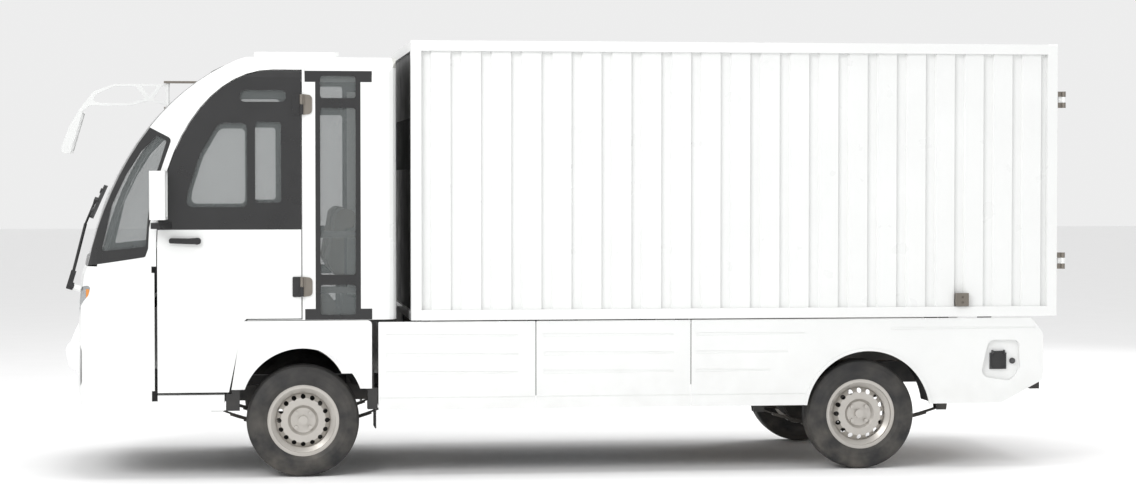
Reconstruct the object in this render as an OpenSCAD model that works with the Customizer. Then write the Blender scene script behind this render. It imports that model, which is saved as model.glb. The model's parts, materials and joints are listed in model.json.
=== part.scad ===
// Light electric mail delivery truck with a two-seat cab and a ribbed cargo box.
// The front faces -X, the driver's side faces -Y and +Z is up. The origin is on the ground under the
// middle of the truck. Modules are drawn with x = 0 at the front axle, and place() moves them there.

/* [Overall] */
// Distance between the front and the rear axle
wheelbase = 2835; // [2600:5:3450]
// Width over the fenders and the side skirts
body_w = 1580; // [1300:5:1900]
// Height of the lower edge of the skirts and the fascia
sill_z = 332; // [300:2:400]
// Thickness of the moulded body panels
panel_t = 5; // [4:0.5:7]

/* [Cab] */
// Height of the shoulder of the roof
cab_h = 2085; // [1740:5:2500]
// Rise of the roof from its shoulder to the centre line
roof_crown = 25; // [10:1:60]
// Radius of the roof's long edges
roof_r = 100; // [60:5:130]
// Rear of the cab behind the front axle
cab_rear = 466; // [440:2:560]
// Reach of the fascia ahead of the front axle
fascia_reach = 1127; // [1100:1:1200]
// Radius of the fascia's corners seen from above
corner_r = 230; // [150:5:300]
// Radius of the front's bow seen from above
bow_r = 6000; // [4000:100:9000]
// Height of the cab's waist line
waist_z = 1232; // [1180:2:1300]
// Height of the top of the fascia
cowl_z = 1052; // [1040:2:1080]
// Height of the deck that the seats stand on
deck_z = 783; // [760:1:800]
// Height of the footwell floor
floor_z = 440; // [425:1:460]

/* [Doors] */
// Front edge of the cab door ahead of the front axle
door_front = 714; // [700:1:730]
// Rear edge of the cab door ahead of the front axle
door_rear = 8; // [6:1:20]
// Thickness of the cab door
door_t = 40; // [30:1:50]
// Gap round each door
door_gap = 5; // [3:0.5:8]

/* [Cargo box] */
// Gap between the cab and the cargo box
cargo_gap = 69; // [40:1:120]
// Length of the cargo box
cargo_l = 3322; // [2700:2:4000]
// Height of the cargo box
cargo_h = 1394; // [1100:2:1700]
// Height of the underside of the cargo box
cargo_z = 777; // [776:1:820]
// Overhang of the cargo box past the skirts on each side
cargo_out = 10; // [5:1:30]
// Width of the box's frame members
post_w = 52; // [40:1:70]
// Spacing of the ribs in the side panels
rib_pitch = 145.5; // [100:0.5:200]
// Width of the groove between two ribs
groove_w = 51; // [30:1:60]
// Depth of the groove between two ribs
groove_t = 16; // [8:1:20]

/* [Wheels] */
// Outside diameter of the tyres
tyre_d = 561; // [500:1:570]
// Width of the tyres
tyre_w = 165; // [135:1:175]
// Diameter of the rim's bead seat
rim_d = 330; // [300:1:360]
// Distance from the outer face of the tyres to the outside of the skirts
tyre_inset = 15; // [12:1:30]
// Radius of the hub caps
cap_r = 23; // [18:0.5:30]
// Radius of the axle spindles
spindle_r = 14; // [10:0.5:18]

/* [Steering wheel] */
// Radius of the steering wheel's rim
steer_r = 185; // [150:1:200]
// Lean of the steering column from upright
column_lean = 38; // [30:1:45]

/* [Rear doors] */
// Thickness of the cargo doors
rear_door_t = 28; // [22:1:32]
// Distance from the box's rear face to the hinge pins
hinge_back = 31; // [31:1:40]
// Radius of the hinge barrels
barrel_r = 10; // [8:0.5:11]

/* [Hidden] */
$fn = 64;

// Half widths of the skirts, the cab's sides and the cargo box
side_y = body_w / 2;
cab_y = side_y - 5;
cargo_y = side_y + cargo_out;
// Ends and top of the cargo box
cargo_x0 = cab_rear + cargo_gap;
cargo_x1 = cargo_x0 + cargo_l;
cargo_top = cargo_z + cargo_h;
// Axles, tyres and the plane of the steering pivots
tyre_r = tyre_d / 2;
rim_r = rim_d / 2;
wheel_y = side_y - tyre_inset - tyre_w / 2;
kingpin_y = wheel_y - 100;
// Middle of the front bow
bow_x = bow_r - fascia_reach;
// Hinge pins of the cargo doors and reach of the truck to each end
rear_pin_x = cargo_x1 + hinge_back;
rear_pin_y = cargo_y + 3;
rear_reach = rear_pin_x + barrel_r;
mirror_reach = fascia_reach + 145;
mirror_y = cab_y + 212;
mid_x = (rear_reach - mirror_reach) / 2;

module place() { translate([-mid_x, 0, 0]) children(); }
module both_sides() {
    children();
    mirror([0, 1, 0]) children();
}
module on_side(side) { mirror([0, side == "left" ? 0 : 1, 0]) children(); }

// Draws an outline of x and z from the depth y0 towards +Y
module side_plate(y0, t) { translate([0, y0 + t, 0]) rotate([90, 0, 0]) linear_extrude(t) children(); }
// Draws an outline of y and z from x0 towards +X
module front_plate(x0, t) {
    translate([x0, 0, 0]) rotate([90, 0, 90]) linear_extrude(t) children();
}
module box(low, high) { translate(low) cube(high - low); }
// Cylinders along each axis, from the point p
module rod_x(p, r, l) { translate(p) rotate([0, 90, 0]) cylinder(r = r, h = l); }
module rod_y(p, r, l) { translate(p) rotate([-90, 0, 0]) cylinder(r = r, h = l); }
module rod_z(p, r, l) { translate(p) cylinder(r = r, h = l); }
// Slender tube between two points
module strut(a, b, r) {
    d = b - a;
    translate(a) rotate([0, acos(d[2] / norm(d)), atan2(d[1], d[0])]) cylinder(r = r, h = norm(d), $fn = 24);
}

// Points of the arc that rounds the corner b between a and c
function corner(a, b, c, r, n) =
    let (u = (a - b) / norm(a - b), v = (c - b) / norm(c - b), half = acos(u * v) / 2,
        centre = b + (u + v) / norm(u + v) * r / sin(half), from = b + u * r / tan(half) - centre,
        start = atan2(from[1], from[0]), sweep = sign(cross(b - a, c - b)) * (180 - 2 * half))
    [for (i = [0:n]) centre + r * [cos(start + sweep * i / n), sin(start + sweep * i / n)]];
// Outline through points [x, y, r], each with its corner rounded to the radius r
function outline(p, n = 5) = let (m = len(p)) [for (i = [0:m - 1])
    let (a = p[(i + m - 1) % m], b = p[i], c = p[(i + 1) % m])
    each b[2] > 0 ? corner([a[0], a[1]], [b[0], b[1]], [c[0], c[1]], b[2], n) : [[b[0], b[1]]]];
function rounded_box(x0, y0, x1, y1, r) = outline([[x0, y0, r], [x1, y0, r], [x1, y1, r], [x0, y1, r]]);
function ellipse_arc(c, rx, ry, a0, a1, n) =
    [for (i = [0:n]) let (a = a0 + (a1 - a0) * i / n) c + [rx * cos(a), ry * sin(a)]];

// ---------------------------------------------------------------- cab volume
// The screen's curve is an ellipse whose top sets the crest of the roof
screen_c = [-68, cab_h - 1385];
screen_rx = fascia_reach - 66;
screen_rz = 1430;
function cab_front_line(inset) = concat(
    [[-fascia_reach + 28 + inset, sill_z - 5], [-fascia_reach + 6 + inset, sill_z + 18],
     [-fascia_reach - 6 + inset, sill_z + 105], [-fascia_reach + inset, 860],
     [-fascia_reach + 14 + inset, 1004]],
    ellipse_arc(screen_c, screen_rx - inset, screen_rz - inset, 166, 90, 19));
// Solid of revolution that gives the front its bow
module cab_bow(inset) {
    line = cab_front_line(inset);
    translate([bow_x, 0, 0]) rotate_extrude($fn = 360) polygon(concat(
        [for (p = line) [bow_x - p[0], p[1]]],
        [[0, line[len(line) - 1][1]], [0, line[0][1]]]));
}
function half_roof_line(inset) = concat(
    [for (a = [0:15:90]) [cab_y - roof_r + (roof_r - inset) * cos(a),
        cab_h - roof_r + (roof_r - inset) * sin(a)]],
    [for (i = [1:4]) let (y = (cab_y - roof_r) * (1 - i / 4))
        [y, cab_h - inset + roof_crown * (1 - pow(y / (cab_y - roof_r), 2))]]);
module cab_cross_section(inset) {
    half = half_roof_line(inset);
    polygon(concat([[cab_y - inset, 200]], half,
        [for (i = [len(half) - 2:-1:0]) [-half[i][0], half[i][1]]], [[-cab_y + inset, 200]]));
}
// Plan of the cab: a bowed front with large corners and a square back with small ones
plan_r = bow_r + 10;
corner_x = bow_x - sqrt(pow(plan_r - corner_r, 2) - pow(cab_y - corner_r, 2));
corner_turn = asin((cab_y - corner_r) / (plan_r - corner_r));
function half_plan(inset) = concat(
    [for (i = [0:3]) let (a = corner_turn * i / 4) [bow_x - (plan_r - inset) * cos(a),
        (plan_r - inset) * sin(a)]],
    [for (i = [0:10]) let (a = 180 - corner_turn - (90 - corner_turn) * i / 10)
        [corner_x + (corner_r - inset) * cos(a), cab_y - corner_r + (corner_r - inset) * sin(a)]],
    [for (a = [90:-22.5:0]) [cab_rear - 60 + (60 - inset) * cos(a), cab_y - 60 + (60 - inset) * sin(a)]]);
module cab_plan(inset) {
    half = half_plan(inset);
    polygon(concat(half, [for (i = [len(half) - 1:-1:1]) [half[i][0], -half[i][1]]]));
}
module cab_volume(inset) {
    intersection() {
        cab_bow(inset);
        front_plate(-2000, 3000) cab_cross_section(inset);
        translate([0, 0, 100]) linear_extrude(cab_h) cab_plan(inset);
    }
}
// Skin of the cab between two depths
module cab_skin(outer, inner) {
    difference() {
        cab_volume(outer);
        cab_volume(inner);
    }
}

// ---------------------------------------------------------------- cab outlines
// Door seen from its side: upright rear edge, curved front pillar and a lower corner cut for the fender
door_low_z = sill_z + 96;
door_arc_c = [-148, 1150];
door_top_z = cab_h - 67;
fender_z = deck_z;
function door_outline(g) = concat(
    [[-door_front - g, door_low_z - g], [-366 + g, door_low_z - g], [-298 + g, fender_z - 28],
     [-290 + g, fender_z - 4 - g / 2], [-278 + g, fender_z + 8 - g], [-door_rear + g, fender_z + 8 - g],
     [-door_rear + g, door_top_z + g]],
    ellipse_arc(door_arc_c, door_front - 148 + g, door_top_z - 1150 + g, 90, 180, 14));
// Black surround of the quarter window and its glass
quarter_frame = [[-1250, cowl_z, 0], [-1038, cowl_z + 6, 0], [-772, cowl_z + 46, 12], [-757, 1140, 12],
    [-752, 1241, 0], [-697, 1517, 60], [-640, 1680, 22], [-743, 1734, 0], [-1250, 1990, 0]];
quarter_glass = [[-985, 1128, 8], [-770, 1150, 12], [-757, 1305, 60], [-714, 1517, 60], [-664, 1672, 14],
    [-712, 1696, 12], [-790, 1615, 80], [-865, 1497, 80], [-932, 1354, 80]];
// Black fixed window behind the door: header, footer and frame
window_x = [62, 286];
function window_zone(g) = [
    [[10 - g, 1962 - g], [342 + g, door_top_z - 1 + g]],
    [[10 - g, fender_z + 1 - g], [342 + g, 838 + g]],
    [[window_x[0] - g, fender_z + 1 - g], [window_x[1] + g, door_top_z - 1 + g]]];
pane_z = [[807, 957], [1006, 1834], [1883, 1992]];

module zone(list) { for (b = list) translate(b[0]) square(b[1] - b[0]); }
module side_prism(reach = 200) { side_plate(-cab_y - 20, reach) children(); }
// The windscreen seen from the front, grown by g
screen_y = cab_y - 78;
screen_top = cab_h - 42;
module screen_outline(g) {
    polygon(rounded_box(-screen_y - g, cowl_z + 28 - g, screen_y + g, screen_top + g, 70 + g));
}

module cab_side_frames() color("white") place() {
    both_sides() difference() {
        union() {
            intersection() {
                cab_skin(0, 36);
                box([-1250, -cab_y - 10, fender_z], [cab_rear + 1, -cab_y + 120, door_top_z + 16]);
            }
            box([-door_rear + 2, -cab_y + 4, fender_z], [10, -cab_y + 36, door_top_z + 16]);
        }
        side_prism() polygon(door_outline(door_gap));
        side_prism() polygon(outline(quarter_frame));
        side_prism() zone(window_zone(0));
        box([-1300, -cab_y - 20, 0], [-door_front + 30, 0, cowl_z]);
        box([-1300, -screen_y - 40, 0], [0, 0, 2 * cab_h]);
        box([cab_rear - 20, -cab_y + 85, 0], [cab_rear + 9, 0, 2 * cab_h]);
    }
    // Sills below the doors
    both_sides() difference() {
        box([-door_front, -side_y, sill_z + 5], [-388, -side_y + 120, door_low_z - 12]);
        box([-door_front - 1, -side_y + panel_t, sill_z], [-380, -side_y + 121, door_low_z - 18]);
    }
}

module cab_roof() color("white") place() {
    difference() {
        intersection() {
            cab_skin(0, 25);
            box([-1250, -cab_y - 10, door_top_z + 16], [cab_rear - 20, cab_y + 10, 2 * cab_h]);
        }
        front_plate(-1300, 1400) polygon(rounded_box(-screen_y - 25, 0, screen_y + 25, screen_top + 20, 60));
    }
    // Raised centre panel
    translate([0, 0, cab_h - 1]) linear_extrude(roof_crown + 12)
        polygon(rounded_box(-235, -cab_y + 250, 190, cab_y - 250, 40));
}

module cab_rear_wall() color("lightgrey") place() {
    difference() {
        intersection() {
            cab_volume(0);
            box([cab_rear - 20, -cab_y + 85, fender_z], [cab_rear, cab_y - 85, 2 * cab_h]);
        }
        for (y = [-500:200:500]) box([cab_rear - 6, y - 60, fender_z + 80], [cab_rear + 1, y + 60, 1500]);
    }
    intersection() {
        cab_skin(0, 25);
        box([cab_rear - 20, -cab_y - 10, door_top_z + 16], [cab_rear, cab_y + 10, 2 * cab_h]);
    }
}

module windscreen_frame() color("black") place() {
    difference() {
        intersection() {
            cab_skin(0, 28);
            union() {
                front_plate(-1300, 1200) polygon(
                    rounded_box(-screen_y - 25, cowl_z, screen_y + 25, screen_top + 20, 60));
                both_sides() side_prism() polygon(outline(quarter_frame));
            }
        }
        front_plate(-1300, 1200) screen_outline(-14);
        both_sides() side_prism() polygon(outline(quarter_glass));
        screen_pane();
        both_sides() quarter_pane();
    }
}
module screen_pane() {
    intersection() {
        cab_skin(8, 14);
        front_plate(-1300, 1100) screen_outline(0);
    }
}
module quarter_pane() {
    intersection() {
        cab_skin(10, 15);
        side_prism(160) polygon(outline([for (p = quarter_glass)
            [p[0] + 9 * sign(p[0] + 800), p[1] + (p[1] < 1200 ? -9 : 7), p[2]]]));
    }
}
module windscreen() color("lightblue", 0.4) place() screen_pane();

// Pane of the fixed window with its edge inside the frame
module fixed_pane(z) {
    side_plate(-cab_y + 10, 5)
        polygon(rounded_box(window_x[0] + 12, z[0] - 10, window_x[1] - 12, z[1] + 10, 20));
}
module side_window_frames() color("black") place() both_sides() {
    difference() {
        side_plate(-cab_y, 30) zone(window_zone(-0.2));
        for (z = pane_z) {
            side_prism() polygon(rounded_box(window_x[0] + 24, z[0], window_x[1] - 24, z[1], 14));
            fixed_pane(z);
        }
    }
    // Rivet heads along the frame's cross bars
    for (z = [981, 1858], x = [window_x[0] + 36, window_x[1] - 36]) rod_y([x, -cab_y - 2, z], 9, 4);
}
module cab_side_glass() color("lightblue", 0.4) place() both_sides() {
    for (z = pane_z) fixed_pane(z);
    quarter_pane();
}

// ---------------------------------------------------------------- front end
lamp_outline = [[-722, 958, 14], [-706, 905, 20], [-560, 786, 26], [-450, 838, 40], [-425, 925, 20]];
intake = [-430, 440, 430, 500];
function beak_line(t) = [[-fascia_reach + 40, 757 - t], [-fascia_reach + 12 + t, 757 - t],
    [-fascia_reach - 8 + t, 716], [-fascia_reach - 29 + t, 664], [-fascia_reach - 49 + t, 644 - t],
    [-fascia_reach - 57 + t, 613], [-fascia_reach - 40 + t, 541 + t],
    [-fascia_reach + 16 + t, 504 + t], [-fascia_reach + 40, 504 + t]];
module beak(t) {
    intersection() {
        side_plate(-520, 1040) polygon(beak_line(t));
        linear_extrude(900) polygon([[-1260, -330 + t], [-1260, 330 - t], [-1060, 500 - t], [-1060,
            -500 + t]]);
    }
}
module lamp_prism(reach) { both_sides() front_plate(-1300, reach) polygon(outline(lamp_outline)); }
module corner_duct() { both_sides() front_plate(-1300, 330) polygon(rounded_box(-650, 455, -575, 655, 30)); }
module front_fascia() color("white") place() {
    difference() {
        union() {
            intersection() {
                cab_skin(0, panel_t);
                box([-1300, -cab_y - 10, sill_z - 1], [-742, cab_y + 10, cowl_z]);
            }
            difference() {
                beak(0);
                beak(panel_t);
                cab_volume(panel_t);
            }
            // Boss of the wiper's spindle
            at_wiper() translate([0, 0, -54]) cylinder(r = 17, h = 50);
        }
        lamp_prism(500);
        corner_duct();
        at_wiper() translate([0, 0, -80]) cylinder(r = 9.05, h = 90);
        front_plate(-1300, 300) polygon(rounded_box(intake[0], intake[1], intake[2], intake[3], 20));
        intersection() {
            cab_volume(panel_t);
            beak(0);
        }
    }
    // Seal strips along the rear edges
    both_sides() box([-742, -cab_y, sill_z + 106], [-728, -cab_y + 12, 1020]);
}
module front_grille() color("dimgray") place() {
    intersection() {
        cab_skin(panel_t + 0.5, panel_t + 26);
        union() {
            for (z = [intake[1] + 2:14:intake[3]])
                box([-1300, intake[0] - 12, z], [-900, intake[2] + 12, z + 5]);
            for (y = [intake[0] - 12, -6, intake[2]]) box([-1300, y, intake[1] - 10], [-900, y + 12,
                intake[3] + 10]);
            both_sides() front_plate(-1300, 360) polygon(rounded_box(-658, 447, -567, 663, 34));
        }
    }
}
module headlamps() color("gainsboro") place() {
    intersection() {
        cab_skin(0.5, 34);
        both_sides() front_plate(-1300, 480) difference() {
            polygon(outline(lamp_outline));
            polygon(rounded_box(-712, 878, -690, 940, 6));
        }
    }
}
module turn_signals() color("orange") place() {
    intersection() {
        cab_skin(0.5, 30);
        both_sides() front_plate(-1300, 480) intersection() {
            polygon(outline(lamp_outline));
            polygon(rounded_box(-711.5, 878.5, -690.5, 939.5, 6));
        }
    }
}

// ---------------------------------------------------------------- lower body
arch_front = [-4, 341, 302];
arch_rear = [wheelbase + 33, tyre_r + 1, 323];
skirt_x = [cab_rear - 96, 1161, 1950, cargo_x1 - 67];
skirt_top = cargo_z - 6;
module arch_lip(arch, z0) {
    side_plate(-side_y - 7, 12) intersection() {
        difference() {
            translate([arch[0], arch[1]]) circle(arch[2] + 15);
            translate([arch[0], arch[1]]) circle(arch[2]);
        }
        translate([arch[0] - 400, z0]) square([800, 700]);
    }
}
module front_fenders() color("white") place() both_sides() {
    difference() {
        side_plate(-side_y, panel_t) polygon(outline([[-354, 440, 0], [340, 440, 0],
            [340, fender_z - 3, 22], [-290, fender_z - 3, 8], [-304, fender_z - 28, 0]]));
        rod_y([arch_front[0], -side_y - 1, arch_front[1]], arch_front[2], panel_t + 2);
    }
    arch_lip(arch_front, 443);
}
module skirt_groove(x0, x1, z, h) {
    side_plate(-side_y - 1, 3.2) polygon([[x0, z - h], [x1, z - h * 0.4], [x1, z + h * 0.4], [x0, z + h]]);
}
groove_z = [skirt_top - 72, skirt_top - 165, skirt_top - 257];
port_x = cargo_x1 - 296;
module side_skirts() color("white") place() {
    for (side = [0, 1]) mirror([0, side, 0]) difference() {
        union() {
            for (i = [0, 1]) side_plate(-side_y, panel_t) polygon(rounded_box(
                skirt_x[i] + 2, sill_z, skirt_x[i + 1] - 2, skirt_top, 5));
            difference() {
                side_plate(-side_y, panel_t) polygon(outline([[skirt_x[2] + 2, sill_z, 5],
                    [skirt_x[3] - 222, sill_z, 30], [skirt_x[3], 450, 20], [skirt_x[3], 690, 30],
                    [skirt_x[3] - 65, skirt_top, 10], [skirt_x[2] + 2, skirt_top, 5]]));
                rod_y([arch_rear[0], -side_y - 1, arch_rear[1]], arch_rear[2], panel_t + 2);
            }
            arch_lip(arch_rear, sill_z);
            if (side == 0) side_plate(-side_y, 26) polygon(outline(port_outline(6)));
        }
        for (z = groove_z) {
            skirt_groove(skirt_x[0] + 40, skirt_x[1] - 90, z, 10);
            skirt_groove(skirt_x[1] + 40, skirt_x[2] - 90, z, 10);
        }
        for (i = [0:2]) skirt_groove(skirt_x[2] + 30, arch_rear[0] - 330 - 90 * i, groove_z[i], 8);
        skirt_groove(arch_rear[0] + 120, skirt_x[3] - 40, groove_z[0] + 20, 7);
        // Crease along the lower edge
        side_plate(-side_y - 1, 2.5) polygon([[skirt_x[0], sill_z + 56], [arch_rear[0] - 322, sill_z + 56],
            [arch_rear[0] - 322, sill_z + 61], [skirt_x[0], sill_z + 61]]);
        if (side == 0) side_plate(-side_y - 1, 22) polygon(outline(port_outline(0)));
    }
}
function port_outline(g) = [[port_x - 104 - g, 470 - g, 40], [port_x + 66 + g, 443 - g, 50],
    [port_x + 106 + g, 520, 30], [port_x + 100 + g, 656 + g, 30], [port_x - 60 - g, 656 + g, 40]];
port_z = 547;
module charge_socket() color("dimgray") place() {
    y = -side_y + 21;
    difference() {
        box([port_x - 50, y - 6, port_z - 42], [port_x + 38, y, port_z + 42]);
        rod_y([port_x - 6, y - 7, port_z], 24, 8);
    }
    difference() {
        rod_y([port_x - 6, y - 4, port_z], 24, 4);
        for (a = [90, 210, 330]) rod_y([port_x - 6 + 12 * cos(a), y - 5, port_z + 12 * sin(a)], 3.2, 3);
    }
    // Ears that hold the flap's hinge pin
    for (x = [port_x - 40, port_x + 22]) difference() {
        box([x, -side_y + 3, flap_hinge_z - 10], [x + 6, y, flap_hinge_z + 8]);
        rod_x([x - 1, -side_y + 8, flap_hinge_z], 4.05, 8);
    }
    // Capped service plug beside the socket
    rod_y([port_x + 70, y - 8, port_z], 15, 8);
    rod_y([port_x + 70, y - 14, port_z], 11, 6);
}
flap_hinge_z = port_z + 48;
module charge_flap() color("#202020") place() {
    y = -side_y + 8;
    difference() {
        side_plate(y - 6, 6) polygon(rounded_box(port_x - 42, port_z - 37, port_x + 30, port_z + 37, 8));
        for (x = [port_x - 34, port_x + 22], z = [port_z - 29, port_z + 29]) rod_y([x, y - 7, z], 3, 4);
    }
    rod_x([port_x - 39, y, flap_hinge_z], 4, 66);
    box([port_x - 30, y - 4, port_z + 30], [port_x + 18, y - 1, flap_hinge_z]);
}

module wheel_arch_guards() color("#181818") place() both_sides() {
    // Front wheel house: an arched shell with room for the wheel to steer
    difference() {
        side_plate(-side_y + panel_t, 330) polygon(outline([[-350, 443, 0], [350, 443, 0],
            [350, 655, 120], [-306, 655, 120]]));
        side_plate(-side_y, 400) polygon(outline([[-346, 442, 0], [346, 442, 0],
            [346, 651, 116], [-302.5, 651, 116]]));
    }
    // Blocks at the feet of the wheel house
    box([-381, -side_y + panel_t, sill_z + 4], [-313, -side_y + 80, door_low_z - 8]);
    box([-352, -side_y + panel_t, door_low_z - 8], [-313, -side_y + 80, 443]);
    box([319, -side_y + panel_t, sill_z + 4], [368, -side_y + 80, 443]);
    // Mud flap behind the front wheel
    box([355, -side_y + 8, 240], [361, -side_y + 180, sill_z + 10]);
    // Rear wheel house: a rounded shell above the tyre
    difference() {
        rod_y([arch_rear[0] - 10, -side_y + panel_t, arch_rear[1] + 12], 348, 200);
        rod_y([arch_rear[0] - 10, -side_y + 1, arch_rear[1] + 12], 344, 220);
        box([arch_rear[0] - 400, -side_y, -200], [arch_rear[0] + 400, 0, sill_z + 8]);
    }
}

// ---------------------------------------------------------------- frame and running gear
rail_y = 520;
front_rail_y = 330;
rail_z = [425, 535];
front_rail_z = [350, floor_z - 12];
rail_x1 = cargo_x1 - 70;
spring_half = 485;
// Upper face of the middle of each spring
rear_leaf_z = 213;
front_leaf_z = 225;
rear_eye_z = 300;
front_eye_z = 318;
front_spring_half = 430;
rail_half = 30;
// Two cheeks and the bolt that hold the eye of a leaf spring below a rail
module spring_bracket(x, y, eye_z, top_z) {
    for (side = [y - rail_half, y + rail_half - 8]) side_plate(side, 8) polygon([[x - 26, eye_z - 22],
        [x + 26, eye_z - 22], [x + 45, top_z], [x - 45, top_z]]);
    rod_y([x, y - rail_half, eye_z], 7.85, 2 * rail_half);
}
module chassis_frame() color("#303030") place() {
    both_sides() {
        difference() {
            box([cab_rear - 12, -rail_y - rail_half, rail_z[0]], [rail_x1, -rail_y + rail_half, rail_z[1]]);
            box([cab_rear - 8, -rail_y - rail_half + 4, rail_z[0] + 4],
                [rail_x1 - 4, -rail_y + rail_half - 4, rail_z[1] - 4]);
        }
        box([-1040, -front_rail_y - rail_half, front_rail_z[0]],
            [478, -front_rail_y + rail_half, front_rail_z[1]]);
        // Outriggers that carry the skirts and the box
        for (x = [620, 1161, 1560, 1950, cargo_x1 - 150]) {
            box([x - 20, -side_y + panel_t, rail_z[1] - 60], [x + 20, -rail_y - 30, rail_z[1] - 10]);
            box([x - 20, -side_y + panel_t, rail_z[1] - 60], [x + 20, -side_y + 35, skirt_top - 20]);
        }
        for (x = [620, 1300, 1950, cargo_x1 - 300])
            box([x - 30, -rail_y - 30, rail_z[1]], [x + 30, -rail_y + 30, cargo_z]);
        for (x = [wheelbase - spring_half, wheelbase + spring_half])
            spring_bracket(x, -rail_y, rear_eye_z, rail_z[0]);
        for (x = [-front_spring_half, front_spring_half])
            spring_bracket(x, -front_rail_y, front_eye_z, front_rail_z[0]);
        // Stays between the front rails and the sills and fenders
        for (x = [-560, 400])
            box([x - 20, -side_y + panel_t, sill_z + 40], [x + 20, -front_rail_y - rail_half, sill_z + 78]);
    }
    box([478, -rail_y + 30, front_rail_z[0]], [538, rail_y - 30, rail_z[1] - 10]);
    for (x = [900, 1900, rail_x1 - 60])
        box([x, -rail_y + 30, rail_z[0] + 10], [x + 60, rail_y - 30, rail_z[1] - 10]);
    for (x = [-1040, 260]) box([x, -front_rail_y + rail_half, front_rail_z[0] + 5],
        [x + 50, front_rail_y - rail_half, front_rail_z[1]]);
    // Bumper beam behind the fascia
    box([-1070, -480, front_rail_z[0]], [-1055, 480, rail_z[1]]);
    both_sides() box([-1055, -front_rail_y - rail_half, front_rail_z[0]],
        [-1040, -front_rail_y + rail_half, front_rail_z[1]]);
    // Rear cross member under the box
    box([cargo_x1 - 70, -rail_y - 60, rail_z[0] - 40], [cargo_x1 - 20, rail_y + 60, rail_z[1]]);
}
module battery_pack() color("#505860") place() {
    for (x = [1010, 1450]) difference() {
        box([x, -rail_y + 36, 370], [x + 400, rail_y - 36, 640]);
        for (i = [0:4]) box([x - 1, -rail_y + 60 + 180 * i, 600], [x + 401, -rail_y + 180 + 180 * i, 641]);
    }
    for (x = [1010, 1450], i = [0:4])
        box([x + 10, -rail_y + 64 + 180 * i, 600], [x + 390, -rail_y + 176 + 180 * i, 636]);
    for (y = [-rail_y + 30, rail_y - 36]) box([1010, y, 440], [1850, y + 6, 470]);
}
// Leaf springs: arched leaves between two eyes, clamped under the axle
module leaf_pack(half_l, eye_z, low_z, y, count) {
    r = (half_l * half_l + pow(eye_z - low_z, 2)) / (2 * (eye_z - low_z));
    difference() {
        union() {
            for (i = [0:count - 1]) side_plate(y - 21, 42) intersection() {
                difference() {
                    translate([0, low_z + r]) circle(r + 7 * i + 6.6, $fn = 200);
                    translate([0, low_z + r]) circle(r + 7 * i, $fn = 200);
                }
                translate([-half_l * (1 - 0.16 * i), low_z - 60]) square([2 * half_l * (1 - 0.16 * i),
                    eye_z - low_z + 60]);
            }
            for (x = [-half_l, half_l]) rod_y([x, y - 21, eye_z + 3], 15, 42);
        }
        for (x = [-half_l, half_l]) rod_y([x, y - 22, eye_z + 3], 7.9, 44);
    }
}
module leaf_springs() color("#404040") place() both_sides() {
    translate([wheelbase, 0, 0]) leaf_pack(spring_half, rear_eye_z - 3, rear_leaf_z, -rail_y, 4);
    leaf_pack(front_spring_half, front_eye_z - 3, front_leaf_z, -front_rail_y, 3);
}
// Pad above the middle of a spring with the plate and the bolts below it
module spring_clamp(y, leaf_z, count) {
    low_z = leaf_z - 7 * count;
    box([-50, y - 34, leaf_z + 1.3], [50, y + 34, tyre_r - 20]);
    box([-50, y - 34, low_z - 10], [50, y + 34, low_z - 0.2]);
    for (x = [-42, 42], s = [-28, 28]) rod_z([x, y + s, low_z - 15], 5, tyre_r - low_z);
}
module front_axle() color("#383838") place() {
    box([-24, -kingpin_y + 42, tyre_r - 24], [24, kingpin_y - 42, tyre_r + 24]);
    both_sides() {
        // Fork round the kingpin
        for (z = [tyre_r - 62, tyre_r + 42]) difference() {
            rod_z([0, -kingpin_y, z], 26, 20);
            rod_z([0, -kingpin_y, z - 1], 11.05, 22);
        }
        box([-24, -kingpin_y + 30, tyre_r - 62], [24, -kingpin_y + 60, tyre_r + 62]);
        for (z = [tyre_r - 62, tyre_r + 42]) box([-24, -kingpin_y + 22, z], [24, -kingpin_y + 40, z + 20]);
        spring_clamp(-front_rail_y, front_leaf_z, 3);
    }
    // Steering rack behind the beam
    rod_y([66, -front_rail_y - 90, tyre_r], 17, 2 * front_rail_y + 180);
    for (y = [-160, 130]) box([20, y, tyre_r - 20], [70, y + 30, tyre_r + 20]);
}
// Steering pivot with its stub axle, brake drum and arm
module knuckle(side) on_side(side) {
    y = -kingpin_y;
    rod_z([0, y, tyre_r - 72], 11, 144);
    rod_z([0, y, tyre_r - 40.5], 24, 81);
    rod_y([0, y - 78, tyre_r], 30, 60);
    rod_y([0, y - 118, tyre_r], spindle_r, 60);
    difference() {
        rod_y([0, y - 78, tyre_r], 96, 42);
        rod_y([0, y - 79, tyre_r], 90, 24);
    }
    box([15, y - 8, tyre_r - 12], [95, y + 8, tyre_r + 8]);
}
module knuckle_left() color("#484848") place() knuckle("left");
module knuckle_right() color("#484848") place() knuckle("right");
module rear_axle() color("#383838") place() translate([wheelbase, 0, 0]) {
    rod_y([0, -wheel_y + 50, tyre_r], 38, 2 * wheel_y - 100);
    intersection() {
        translate([0, 40, tyre_r]) sphere(118);
        box([-150, -70, 0], [150, 150, 600]);
    }
    // Drive motor ahead of the differential
    rod_y([-175, -150, tyre_r + 10], 88, 240);
    for (y = [-130:20:70]) rod_y([-175, y, tyre_r + 10], 93, 8);
    box([-190, 30, tyre_r - 60], [0, 84, tyre_r + 60]);
    both_sides() {
        difference() {
            rod_y([0, -wheel_y + 22, tyre_r], 96, 42);
            rod_y([0, -wheel_y + 21, tyre_r], 90, 24);
        }
        rod_y([0, -wheel_y - 18, tyre_r], spindle_r, 80);
        spring_clamp(-rail_y, rear_leaf_z, 4);
    }
}

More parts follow.
